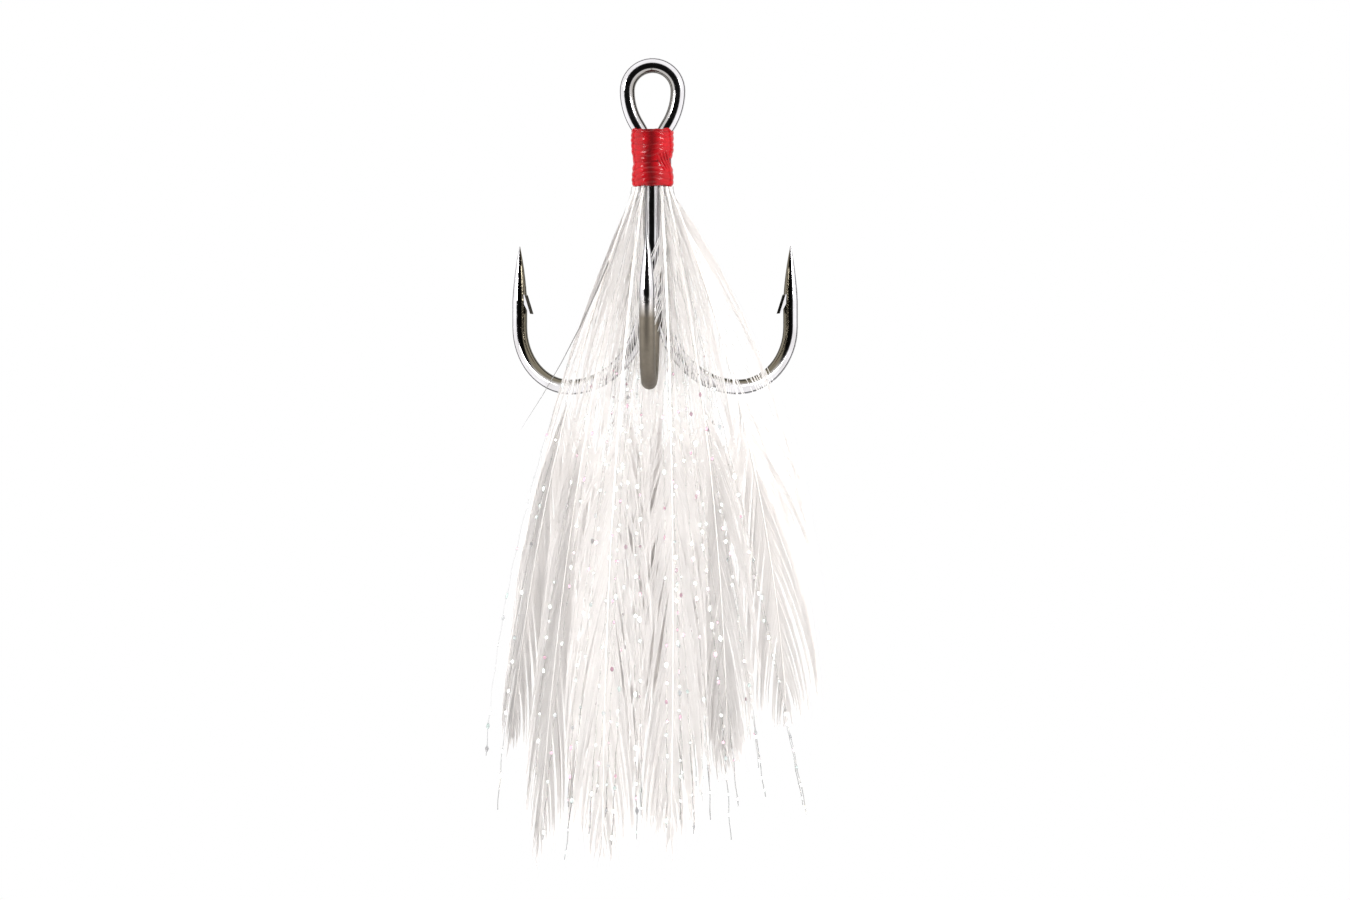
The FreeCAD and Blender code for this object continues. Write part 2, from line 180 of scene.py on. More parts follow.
class Nodes:
    """A node tree under construction, with short calls to add and link nodes."""

    def __init__(self, tree: bpy.types.NodeTree) -> None:
        """Starts on a tree."""
        self.tree = tree

    def add(self, kind: str, inputs: dict | None = None, **settings) -> bpy.types.Node:
        """Adds a node.

        Args:
            kind: the node's type name without the ShaderNode prefix.
            inputs: socket name or index to a value or to a socket that feeds it.
            settings: plain properties of the node.

        Returns:
            The new node.
        """
        node = self.tree.nodes.new("ShaderNode" + kind)
        for key, value in settings.items():
            setattr(node, key, value)
        for key, value in (inputs or {}).items():
            self.set(node, key, value)
        return node

    def set(self, node: bpy.types.Node, key: str | int, value) -> None:
        """Sets or links one input of a node."""
        if isinstance(value, bpy.types.NodeSocket):
            self.tree.links.new(value, node.inputs[key])
        else:
            node.inputs[key].default_value = value

    def math(self, operation: str, *values, clamp: bool = False) -> bpy.types.NodeSocket:
        """Result of a Math node on numbers or sockets."""
        node = self.add("Math", dict(enumerate(values)), operation=operation, use_clamp=clamp)
        return node.outputs[0]

    def vector(self, operation: str, *values) -> bpy.types.NodeSocket:
        """Result of a Vector Math node on vectors or sockets."""
        node = self.add("VectorMath", dict(enumerate(values)), operation=operation)
        return node.outputs["Value" if operation in ("DOT_PRODUCT", "LENGTH") else "Vector"]

    def remap(self, value, low: float, high: float, to_low: float, to_high: float) -> bpy.types.NodeSocket:
        """Value moved linearly from one range to another, and kept inside it."""
        inputs = {0: value, 1: low, 2: high, 3: to_low, 4: to_high}
        return self.add("MapRange", inputs).outputs[0]

    def ramp(self, value, stops: list[tuple[float, Colour]]) -> bpy.types.NodeSocket:
        """Colour that runs through given stops.

        Args:
            value: number or socket that picks the place on the ramp.
            stops: places from 0 to 1, with their colours.

        Returns:
            The colour.
        """
        node = self.add("ValToRGB", {0: value})
        elements = node.color_ramp.elements
        while len(elements) < len(stops):
            elements.new(1.0)
        for element, (place, colour) in zip(elements, stops):
            element.position = place
            element.color = (*colour, 1.0)
        return node.outputs[0]

    def mix(self, factor, first, second, blend: str = "MIX") -> bpy.types.NodeSocket:
        """Two colours mixed.

        Args:
            factor: share of the second.
            first: colour or socket.
            second: colour or socket.
            blend: how the second is laid on the first.

        Returns:
            The mixed colour.
        """
        node = self.add("Mix", data_type="RGBA", blend_type=blend)
        self.set(node, 0, factor)
        for index, colour in ((6, first), (7, second)):
            is_socket = isinstance(colour, bpy.types.NodeSocket)
            self.set(node, index, colour if is_socket else (*colour, 1.0))
        return node.outputs[2]

    def attribute(self, name: str) -> bpy.types.NodeSocket:
        """Number stored on the mesh under a name."""
        return self.add("Attribute", attribute_name=name).outputs["Fac"]

    def object_place(self) -> bpy.types.NodeSocket:
        """Place on the piece, in metres."""
        return self.add("TexCoord").outputs["Object"]

    def object_height(self) -> bpy.types.NodeSocket:
        """Height on the piece, in metres."""
        return self.add("SeparateXYZ", {0: self.object_place()}).outputs[2]


def new_group(name: str, inputs: dict[str, float], outputs: list[str]) -> tuple:
    """Starts a shader node group with number sockets.

    Args:
        name: the group's name.
        inputs: input names with their usual values.
        outputs: output names.

    Returns:
        The tree, its Nodes helper, the group input's sockets and the group output node.
    """
    tree = bpy.data.node_groups.new(name, "ShaderNodeTree")
    for key, value in inputs.items():
        socket = tree.interface.new_socket(key, in_out="INPUT", socket_type="NodeSocketFloat")
        socket.default_value = value
    for key in outputs:
        tree.interface.new_socket(key, in_out="OUTPUT", socket_type="NodeSocketFloat")
    given = tree.nodes.new("NodeGroupInput")
    result = tree.nodes.new("NodeGroupOutput")
    return tree, Nodes(tree), given.outputs, result


class SharedEffects:
    """Node groups that more than one finish uses, each built once.

    The pairs are where a mask starts and where it is full: how far the surface faces the gap of
    a bend or the middle of the eye, and distances from the shank or heights, in millimetres.
    """

    FACING_GAP = (0.10, 0.55)
    OFF_SHANK = (2.2, 4.2)
    FACING_EYE = (0.05, 0.7)
    EYE_FOOT = (-3.2, -2.6)
    EYE_SHARE = 0.7
    GAP = {"Gap centre": 6.0, "Gap height": -13.0}

    def __init__(self, axis_y: float) -> None:
        """Builds the groups.

        Args:
            axis_y: where the shank's axis stands behind the eye, in millimetres.
        """
        self.cloud = self._cloud()
        self.fibres = self._fibres()
        self.inside = self._painted_inner_shade(axis_y)

    @staticmethod
    def _painted_inner_shade(axis_y: float) -> bpy.types.NodeTree:
        """Painted shade on the inner side of each bend and of the eye, from 0 to 1: the plating's colour is
        darkened there.
        """
        tree, n, given, result = new_group("painted_inner_shade", SharedEffects.GAP, ["Mask"])
        coordinates = n.add("TexCoord")
        normal = coordinates.outputs["Normal"]
        place = n.vector("SCALE", coordinates.outputs["Object"])
        n.set(place.node, "Scale", 1.0 / MM)
        from_axis = n.vector("SUBTRACT", place, (0.0, axis_y, 0.0))
        flat = n.vector("MULTIPLY", from_axis, (1.0, 1.0, 0.0))
        height = n.add("SeparateXYZ", {0: from_axis}).outputs[2]
        out = n.vector("SCALE", n.vector("NORMALIZE", flat))
        n.set(out.node, "Scale", given["Gap centre"])
        level = n.add("CombineXYZ", {2: n.math("MAXIMUM", height, given["Gap height"])})
        centre = n.vector("ADD", out, level.outputs[0])
        to_gap = n.vector("NORMALIZE", n.vector("SUBTRACT", centre, from_axis))
        in_gap = n.remap(n.vector("DOT_PRODUCT", normal, to_gap), *SharedEffects.FACING_GAP, 0.0, 1.0)
        away = n.remap(n.vector("LENGTH", flat), *SharedEffects.OFF_SHANK, 0.0, 1.0)
        to_eye = n.vector("NORMALIZE", n.vector("MULTIPLY", place, (-1.0, 0.0, -1.0)))
        in_eye = n.remap(n.vector("DOT_PRODUCT", normal, to_eye), *SharedEffects.FACING_EYE, 0.0, 1.0)
        at_eye = n.remap(height, *SharedEffects.EYE_FOOT, 0.0, SharedEffects.EYE_SHARE)
        hooks = n.math("MULTIPLY", in_gap, away)
        eye = n.math("MULTIPLY", in_eye, at_eye)
        n.set(result, "Mask", n.math("ADD", hooks, eye, clamp=True))
        return tree

    @staticmethod
    def _cloud() -> bpy.types.NodeTree:
        """Soft patches over the surface, from 0 to 1: plating, smears and lacquer."""
        tree, n, given, result = new_group("soft_patches", {"Scale": 400.0, "Sharpness": 1.0}, ["Mask"])
        place = n.object_place()
        noise = n.add("TexNoise", {"Vector": place, "Scale": given["Scale"], "Detail": 4.0})
        centred = n.math("SUBTRACT", noise.outputs[0], 0.5)
        spread = n.math("MULTIPLY", centred, n.math("MULTIPLY", given["Sharpness"], 2.2))
        n.set(result, "Mask", n.math("ADD", spread, 0.5, clamp=True))
        return tree

    @staticmethod
    def _fibres() -> bpy.types.NodeTree:
        """Fine streaks along the shank's direction, from 0 to 1: barbs, quills and thread."""
        tree, n, given, result = new_group(
            "fine_streaks", {"Scale": 5000.0, "Length": 12.0, "Contrast": 1.0}, ["Mask"]
        )
        parts = n.add("SeparateXYZ", {0: n.object_place()})
        height = n.math("DIVIDE", parts.outputs[2], given["Length"])
        squeezed = n.add("CombineXYZ", {0: parts.outputs[0], 1: parts.outputs[1], 2: height})
        noise = n.add(
            "TexNoise", {"Vector": squeezed.outputs[0], "Scale": given["Scale"], "Detail": 2.0}
        )
        centred = n.math("SUBTRACT", noise.outputs[0], 0.5)
        spread = n.math("MULTIPLY", centred, n.math("MULTIPLY", given["Contrast"], 2.0))
        n.set(result, "Mask", n.math("ADD", spread, 0.5, clamp=True))
        return tree


def place_group(n: Nodes, tree: bpy.types.NodeTree, **inputs) -> bpy.types.NodeSocket:
    """Adds a shared group to a material and gives its mask.

    Args:
        n: the material's nodes.
        tree: the shared group.
        inputs: values of the group's inputs.

    Returns:
        The group's mask.
    """
    node = n.add("Group", node_tree=tree)
    for key, value in inputs.items():
        n.set(node, key, value)
    return node.outputs["Mask"]


def start_material(name: str) -> tuple[bpy.types.Material, Nodes, bpy.types.Node, bpy.types.Node]:
    """A new material with its Principled shader and its output."""
    material = bpy.data.materials.new(name)
    material.use_nodes = True
    tree = material.node_tree
    shader = tree.nodes["Principled BSDF"]
    return material, Nodes(tree), shader, tree.nodes["Material Output"]


# ---------------------------------------------------------------- finishes
@dataclass(frozen=True)
class PlatedWire:
    """Black nickel over steel: a dark mirror with a faint smoky bloom.

    A bend colour, where it is given, is painted shade: it takes over between two heights, in millimetres,
    and darkens the bend.
    """

    name: str = "black_nickel"
    dark: Colour = (0.32, 0.31, 0.315)
    light: Colour = (0.43, 0.425, 0.44)
    # painted shade colour for the inner side of the bends and of the eye
    inner: Colour = (0.085, 0.075, 0.055)
    bend: Colour | None = None
    bend_bloom: float = 0.50
    bend_shade_from: float = -15.0
    bend_shade_to: float = -16.8
    polish: float = 0.06
    bloom: float = 0.15

    def build(self, effects: SharedEffects) -> bpy.types.Material:
        """Makes the material."""
        material, n, shader, _ = start_material(self.name)
        patches = place_group(n, effects.cloud, Scale=420.0, Sharpness=1.2)
        smears = place_group(n, effects.cloud, Scale=2600.0, Sharpness=1.6)
        inside = place_group(n, effects.inside)
        plate = n.mix(patches, self.dark, self.light)
        if self.bend:
            # Painted shade: below the shank the bend colour takes over, darkening and browning the front
            # hook's bend.
            bend_shade_mask = n.remap(n.object_height(), self.bend_shade_from * MM, self.bend_shade_to * MM, 0.0, 1.0)
            plate = n.mix(bend_shade_mask, plate, self.bend)
        # Painted shade: the inner colour takes over where the surface faces the gap of a bend or the middle
        # of the eye.
        n.set(shader, "Base Color", n.mix(inside, plate, self.inner))
        gloss = n.remap(smears, 0.2, 1.0, self.polish, self.bloom)
        if self.bend:
            gloss = n.math("ADD", gloss, n.math("MULTIPLY", bend_shade_mask, self.bend_bloom))
        n.set(shader, "Roughness", gloss)
        n.set(shader, "Metallic", 1.0)
        grain = n.add("TexNoise", {"Vector": n.object_place(), "Scale": 14000.0})
        bump = n.add("Bump", {"Height": grain.outputs[0], "Strength": 0.02, "Distance": 0.00002})
        n.set(shader, "Normal", bump.outputs[0])
        return material


@dataclass(frozen=True)
class Lacquer:
    """Red thread, or the cement behind it, under a thick gloss coat."""

    name: str
    deep: Colour
    bright: Colour
    streak: float
    coat: float = 0.22
    roughness: float = 0.45

    def build(self, effects: SharedEffects) -> bpy.types.Material:
        """Makes the material."""
        material, n, shader, _ = start_material(self.name)
        patches = place_group(n, effects.cloud, Scale=1500.0, Sharpness=1.4)
        threads = place_group(n, effects.fibres, Scale=4000.0, Length=0.2, Contrast=1.3)
        # The tone attribute carries painted shade, darker in the grooves between the turns and down a band
        # on the front; the patches vary it at random.
        lit = n.math("MULTIPLY", n.attribute("tone"), n.remap(patches, 0.0, 1.0, 0.7, 1.0))
        tint = n.mix(lit, self.deep, self.bright)
        n.set(shader, "Base Color", n.mix(n.math("MULTIPLY", threads, self.streak), tint, self.deep))
        n.set(shader, "Roughness", n.remap(patches, 0.0, 1.0, self.roughness, self.roughness + 0.15))
        n.set(shader, "Specular IOR Level", 0.04)
        n.set(shader, "Coat Weight", self.coat)
        n.set(shader, "Coat Roughness", 0.08)
        bump = n.add("Bump", {"Height": threads, "Strength": 0.25, "Distance": 0.00003})
        n.set(shader, "Normal", bump.outputs[0])
        return material


@dataclass(frozen=True)
class Keratin:
    """Feather stuff: ivory white, a little glossy, and light passes through it."""

    name: str
    shade: Colour
    light: Colour
    through: float
    roughness: float
    streak_scale: float
    streak: float = 0.30
    dimmest: float = -0.6

    def build(self, effects: SharedEffects) -> bpy.types.Material:
        """Makes the material."""
        material, n, shader, output = start_material(self.name)
        streaks = place_group(n, effects.fibres, Scale=self.streak_scale, Length=9.0, Contrast=1.1)
        tone = n.math("ADD", n.math("MULTIPLY", streaks, self.streak), n.attribute("tone"))
        plain = n.mix(tone, self.shade, self.light)
        # Painted shade: a tone below zero darkens the colour, to half at the dimmest tone, as on the stray
        # barbs.
        dim = n.remap(tone, self.dimmest, 0.0, 0.5, 1.0)
        colour = n.mix(1.0, plain, dim, "MULTIPLY")
        n.set(shader, "Base Color", colour)
        n.set(shader, "Roughness", n.remap(streaks, 0.0, 1.0, self.roughness - 0.1, self.roughness + 0.1))
        n.set(shader, "Sheen Weight", 0.25)
        n.set(shader, "Sheen Roughness", 0.4)
        glow = n.add("BsdfTranslucent", {"Color": colour})
        both = n.add("MixShader", {0: self.through, 1: shader.outputs[0], 2: glow.outputs[0]})
        n.set(output, "Surface", both.outputs[0])
        return material


@dataclass(frozen=True)
class PearlFilm:
    """Crimped pearl film: clear between the crimps, with pink, green and grey glints on them.

    Below the feathers' hem the film between the crimps is duller, down to the fringe, where it
    hangs alone. Both heights are in millimetres.
    """

    name: str = "pearl_film"
    clear: float = 0.12
    tip: float = 0.60
    hem: float = -44.0
    fringe: float = -50.0
    dull: Colour = (0.20, 0.195, 0.195)

    def build(self, effects: SharedEffects) -> bpy.types.Material:
        """Makes the material."""
        material, n, shader, _ = start_material(self.name)
        hue = n.attribute("tone")
        speck = n.remap(n.attribute("speck"), 0.2, 0.5, 0.0, 1.0)
        stops = [
            (0.00, (0.92, 0.93, 0.94)),
            (0.36, (0.80, 0.90, 0.87)),
            (0.50, (0.52, 0.62, 0.59)),
            (0.60, (0.56, 0.34, 0.42)),
            (0.72, (0.74, 0.50, 0.59)),
            (0.81, (0.38, 0.36, 0.36)),
            (0.88, (0.62, 0.63, 0.64)),
            (1.00, (0.94, 0.94, 0.94)),
        ]
        neck = n.remap(n.object_height(), self.hem * MM, self.fringe * MM, self.clear, self.tip)
        smear = place_group(n, effects.cloud, Scale=3000.0, Sharpness=1.0)
        n.set(shader, "Base Color", n.mix(speck, self.dull, n.ramp(hue, stops)))
        n.set(shader, "Metallic", n.remap(speck, 0.0, 1.0, 0.0, 0.6))
        n.set(shader, "Roughness", n.remap(smear, 0.0, 1.0, 0.10, 0.24))
        n.set(shader, "Alpha", n.math("MAXIMUM", speck, neck))
        n.set(shader, "Thin Film Thickness", 420.0)
        n.set(shader, "Thin Film IOR", 1.45)
        return material


@dataclass(frozen=True)
class Finishes:
    """Every finish of the hook, built once."""

    wire: bpy.types.Material
    front_wire: bpy.types.Material
    braze: bpy.types.Material
    thread: bpy.types.Material
    cement: bpy.types.Material
    quill: bpy.types.Material
    barbs: bpy.types.Material
    film: bpy.types.Material

    @classmethod
    def build(cls, axis_y: float) -> "Finishes":
        """Makes the shared effects and then each material."""
        effects = SharedEffects(axis_y)
        return cls(
            wire=PlatedWire().build(effects),
            # The bend colour here is painted shade on the front hook's bend.
            front_wire=PlatedWire("front_black_nickel", bend=(0.14, 0.122, 0.098)).build(effects),
            braze=PlatedWire(
                name="plated_braze",
                dark=(0.24, 0.22, 0.19),
                light=(0.36, 0.33, 0.29),
                # painted shade colour for the inner side of the braze
                inner=(0.10, 0.09, 0.07),
                polish=0.25,
                bloom=0.45,
            ).build(effects),
            thread=Lacquer(
                name="red_thread",
                deep=(0.085, 0.001, 0.002),
                bright=(0.36, 0.002, 0.006),
                streak=0.15,
            ).build(effects),
            cement=Lacquer(
                name="head_cement",
                deep=(0.10, 0.001, 0.003),
                bright=(0.30, 0.004, 0.01),
                streak=0.2,
            ).build(effects),
            quill=Keratin(
                name="quill_stem",
                shade=(0.86, 0.82, 0.79),
                light=(0.96, 0.94, 0.92),
                through=0.35,
                roughness=0.40,
                streak_scale=3000.0,
            ).build(effects),
            barbs=Keratin(
                name="hackle_barbs",
                shade=(0.86, 0.845, 0.835),
                light=(0.93, 0.918, 0.91),
                through=0.80,
                roughness=0.70,
                streak_scale=6000.0,
            ).build(effects),
            film=PearlFilm().build(effects),
        )


# ---------------------------------------------------------------- the wires
@dataclass(frozen=True)
class HookWires:
    """Bare sizes of the three brazed wires, and the finish of their meshes.

    The three shanks stand round an axis just clear of each other, at the azimuths in hooks.
    """

    wire_r: float
    ring_r: float
    axis_y: float
    wrap_low_z: float
    wrap_top_z: float
    wrap_out_r: float
    bend_r: float = 6.21
    throat_r: float = 4.43
    parting_ends: tuple[float, float] = (2.4, 0.9)
    parting_depth: float = 0.6
    hooks: tuple[float, ...] = (-90.0, 30.0, 150.0)

    @classmethod
    def from_frame(cls) -> "HookWires":
        """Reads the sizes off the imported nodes."""
        low, high = box_mm("third_hook")
        wire_r = (high[0] - low[0]) / 2
        ring_r = (2 * wire_r + SHANK_GAP) / math.sqrt(3)
        wrap_low, wrap_high = box_mm("thread_wrap")
        out_r = (wrap_high[0] - wrap_low[0]) / 2
        return cls(wire_r, ring_r, -ring_r / 2, wrap_low[2], wrap_high[2], out_r)

    @property
    def bend_low_z(self) -> float:
        """Height of the wire's centre at the bottom of a bend."""
        return box_mm("third_hook")[0][2] + self.wire_r

    @property
    def quill_ring_r(self) -> float:
        """Radius of the ring on which the quills are bound."""
        return self.ring_r + self.wire_r

    def around(self, azimuth: float, radius: float, z: float) -> np.ndarray:
        """Point at a radius from the shank's axis."""
        a = math.radians(azimuth)
        return np.array([radius * math.cos(a), self.axis_y + radius * math.sin(a), z])

    def keep_clear(self, points: np.ndarray, gap: float) -> np.ndarray:
        """Pushes points out of the wires, as barbs part round them.

        Args:
            points: places in millimetres, any shape that ends in three.
            gap: how far a point stays off the wire.

        Returns:
            The moved points.
        """
        bend_top_z = self.bend_low_z + self.bend_r
        spear_low_z = self.bend_low_z + self.throat_r
        bend_low_r = self.ring_r + self.bend_r
        moved = points.copy()
        for azimuth in self.hooks:
            a = math.radians(azimuth)
            out, side = np.array([math.cos(a), math.sin(a)]), np.array([-math.sin(a), math.cos(a)])
            flat = moved[..., :2] - np.array([0.0, self.axis_y])
            r, p, z = flat @ out, flat @ side, moved[..., 2]
            inner = r < bend_low_r
            centre_z = np.where(inner, bend_top_z, spear_low_z)
            radius = np.where(inner, self.bend_r, self.throat_r)
            straight = z > centre_z
            turn_r = np.where(inner, self.ring_r, bend_low_r + self.throat_r)
            dr = np.where(straight, r - turn_r, r - bend_low_r)
            dz = np.where(straight, 0.0, z - centre_z)
            reach = np.hypot(dr, dz)
            off = np.where(straight, dr, reach - radius)
            away = np.hypot(off, p)
            need = self.wire_r + gap
            grow = np.where(away < need, need / np.maximum(away, 1e-3) - 1.0, 0.0)
            ur = np.where(straight, 1.0, dr / np.maximum(reach, 1e-6))
            uz = np.where(straight, 0.0, dz / np.maximum(reach, 1e-6))
            step_r, step_p, step_z = off * grow * ur, p * grow, off * grow * uz
            moved[..., 0] += step_r * out[0] + step_p * side[0]
            moved[..., 1] += step_r * out[1] + step_p * side[1]
            moved[..., 2] += step_z
        return moved

    def part_front(self, points: np.ndarray, opening: np.ndarray) -> np.ndarray:
        """Parts what hangs before the shank, where the front hook's bend comes through.

        Args:
            points: places in millimetres, by barb and station.
            opening: half width of the parting for each barb.

        Returns:
            The moved points.
        """
        x, y, z = points[..., 0], points[..., 1], points[..., 2]
        upper, lower = self.parting_ends
        below = np.clip((self.wrap_low_z - z) / upper, 0, 1)
        above = np.clip((z - self.bend_low_z + lower) / lower, 0, 1)
        before = np.clip((self.axis_y - y) / self.parting_depth, 0, 1)
        gap = opening[:, None] * below * above * before
        moved = points.copy()
        moved[..., 0] = np.where(x < 0, -1, 1) * np.sqrt(x**2 + gap**2)
        return moved

    def dress(self, finishes: Finishes) -> None:
        """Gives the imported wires, braze and cement their finishes."""
        for node, material in (
            ("double_hook", finishes.wire),
            ("third_hook", finishes.front_wire),
            ("braze_fillets", finishes.braze),
            ("wrap_cement", finishes.cement),
        ):
            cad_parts[node].material_slots[0].material = material
            LOG.info("%s keeps its mesh and takes %s", node, material.name)


# ---------------------------------------------------------------- the binding
@dataclass(frozen=True)
class ThreadBinding:
    """Turns of red thread under lacquer, pulled in round a waist that slanting threads cross.

    Each lip is the height and the depth of the rounding at an end. Angles are in degrees round the shank,
    and directions round it, such as the centre of the painted front shade, too.
    """

    wires: HookWires
    turns: float = 9.4
    ridge: float = 0.06
    waist_below_top: float = 2.28
    waist_depth: float = 0.20
    waist_half: float = 0.52
    skin: float = 0.05
    top_lip: tuple[float, float] = (0.16, 0.16)
    low_lip: tuple[float, float] = (0.50, 0.24)
    columns: int = 168
    rows: int = 140
    # centre of the painted shade band down the front
    front_shade_at: float = 266.0
    crossings: int = 4
    crossing_r: float = 0.095
    crossings_at: float = 310.0
    first_crossing: float = -78.0
    crossing_step: float = 10.0
    crossing_turn: float = 34.0
    crossing_drop: float = 1.44

    def base_radius(self, angle: np.ndarray, z: np.ndarray) -> np.ndarray:
        """Outside of the binding before the ridges.

        Args:
            angle: direction round the shank, in radians.
            z: height.

        Returns:
            The radius at each place.
        """
        down = self.wires.wrap_top_z - z
        facing = 0.5 + 0.5 * np.cos(angle - math.radians(-20))
        waist = bell(down - self.waist_below_top, self.waist_half)
        radius = self.wires.wrap_out_r - self.skin - self.waist_depth * waist * (0.35 + 0.65 * facing)
        radius += 0.035 * np.cos(3 * angle + math.radians(30)) * bell(down - 3.4, 1.2)
        radius += 0.02 * np.sin(2 * angle + 1.7 * down) + 0.015 * np.sin(5 * angle - 2.3 * down)
        up = self.wires.wrap_top_z - self.wires.wrap_low_z - down
        for edge, (tall, deep) in ((down, self.top_lip), (up, self.low_lip)):
            round_off = np.clip(1 - edge / tall, 0, 1)
            radius = radius - deep * (1 - np.sqrt(1 - round_off**2 * 0.98))
        return radius

    def ridges(self, angle: np.ndarray, z: np.ndarray) -> np.ndarray:
        """Height of the thread's own roundness above the base.

        Args:
            angle: direction round the shank, in radians.
            z: height.

        Returns:
            The height at each place, lower where the slanting threads lie over the turns.
        """
        down = self.wires.wrap_top_z - z
        length = self.wires.wrap_top_z - self.wires.wrap_low_z
        wander = 0.10 * np.sin(2.0 * angle + 1.3 * down) + 0.07 * np.sin(3.0 * angle - 2.1 * down + 1.0)
        phase = (down + wander) * self.turns / length + angle / (2 * math.pi)
        across = 2 * (phase - np.floor(phase)) - 1
        which = np.floor(phase)
        swell = 0.70 + 0.30 * np.sin(which * 2.4) * np.cos(which * 1.1 + 2 * angle)
        under = bell(down - self.waist_below_top, 0.7) * bell(angle - math.radians(self.crossings_at), 0.5)
        return self.ridge * swell * (1 - 0.85 * under) * (np.cos(math.pi / 2 * across) - 0.35)

    def painted_front_shade(self, angle: np.ndarray, z: np.ndarray) -> np.ndarray:
        """Painted shade: how strongly a soft dark band down the front darkens the thread's colour.

        Args:
            angle: direction round the shank, in radians.
            z: height.

        Returns:
            A share from 0 to 1 at each place.
        """
        down = self.wires.wrap_top_z - z
        shade_centre = math.radians(self.front_shade_at) + 0.07 * np.sin(2.2 * down)
        top = 0.8 * bell(down, 0.45) * bell(angle - shade_centre, 0.75)
        return np.maximum(bell(angle - shade_centre, 0.30), top)

    def build_turns(self, finishes: Finishes) -> bpy.types.Object:
        """The wound turns, as one closed shell with a helical ridge."""
        angles = np.linspace(0, 2 * math.pi, self.columns, endpoint=False)
        heights = np.linspace(self.wires.wrap_top_z, self.wires.wrap_low_z, self.rows)
        angle, z = np.meshgrid(angles, heights)
        ridges = self.ridges(angle, z)
        radius = self.base_radius(angle, z) + ridges
        rim = 0.05 * np.sin(8 * angle) - 0.07 * np.sin(3 * angle + 0.6)
        z = z + rim * np.exp((z - self.wires.wrap_top_z) / 0.3)
        inner = np.full_like(angles, self.wires.quill_ring_r + 0.02)
        radius = np.vstack([inner, radius, inner])
        z = np.vstack([z[:1], z, z[-1:]])
        angle = np.vstack([angle[:1], angle, angle[-1:]])
        points = np.stack(
            [radius * np.cos(angle), self.wires.axis_y + radius * np.sin(angle), z], axis=-1
        ).reshape(-1, 3)
        # Painted shade: the tone falls from the ridges into the grooves between the turns.
        high = np.clip((ridges - ridges.min()) / np.ptp(ridges) / 0.45, 0, 1)
        # The painted front shade darkens the tone further.
        high = (0.60 + 0.40 * high) * (1 - self.painted_front_shade(angle[1:-1], heights[:, None]))
        tone = np.vstack([high[:1], high, high[-1:]]).reshape(-1)
        rings, around = radius.shape
        faces = loft_faces(rings, around)[:-2]
        first, last = np.arange(around), np.arange(around) + (rings - 1) * around
        for j in range(around):
            k = (j + 1) % around
            faces.append((int(first[k]), int(first[j]), int(last[j]), int(last[k])))
        return make_piece(
            "binding_turns",
            points,
            [face[::-1] for face in faces],
            finishes.thread,
            ["thread_wrap"],
            {"tone": tone},
        )

    def build_crossings(self, finishes: Finishes) -> bpy.types.Object:
        """Threads that slant over the waist and dive under the turns at both ends."""
        points, faces = [], []
        steps, sides = 26, 10
        for i in range(self.crossings):
            share = np.linspace(0, 1, steps)
            shift = (i - (self.crossings - 1) / 2) * 0.19
            angle = np.radians(self.first_crossing + self.crossing_step * i + self.crossing_turn * share)
            waist_z = self.wires.wrap_top_z - self.waist_below_top
            z = waist_z + self.crossing_drop / 2 - self.crossing_drop * share + 0.5 * shift
            sink = 0.16 * np.abs(2 * share - 1) ** 4
            radius = self.base_radius(angle, z) + 0.01 - sink
            centre = np.stack(
                [radius * np.cos(angle), self.wires.axis_y + radius * np.sin(angle), z], axis=-1
            )
            along = unit(np.gradient(centre, axis=0))
            out = unit(np.stack([np.cos(angle), np.sin(angle), 0 * angle], axis=-1))
            side = unit(np.cross(along, out))
            start = len(points)
            for k in range(steps):
                for j in range(sides):
                    a = 2 * math.pi * j / sides
                    shape = side[k] * math.cos(a) * self.crossing_r * 1.25
                    points.append(centre[k] + shape - out[k] * math.sin(a) * self.crossing_r * 0.8)
            faces += loft_faces(steps, sides, start)
        return make_piece(
            "binding_crossings",
            np.array(points),
            faces,
            finishes.thread,
            ["thread_crossings"],
            {"tone": np.full(len(points), 0.9)},
        )

    def build(self, finishes: Finishes) -> None:
        """Makes both pieces."""
        for piece in (self.build_turns(finishes), self.build_crossings(finishes)):
            LOG.info("%s has %d faces", piece.name, len(piece.data.polygons))


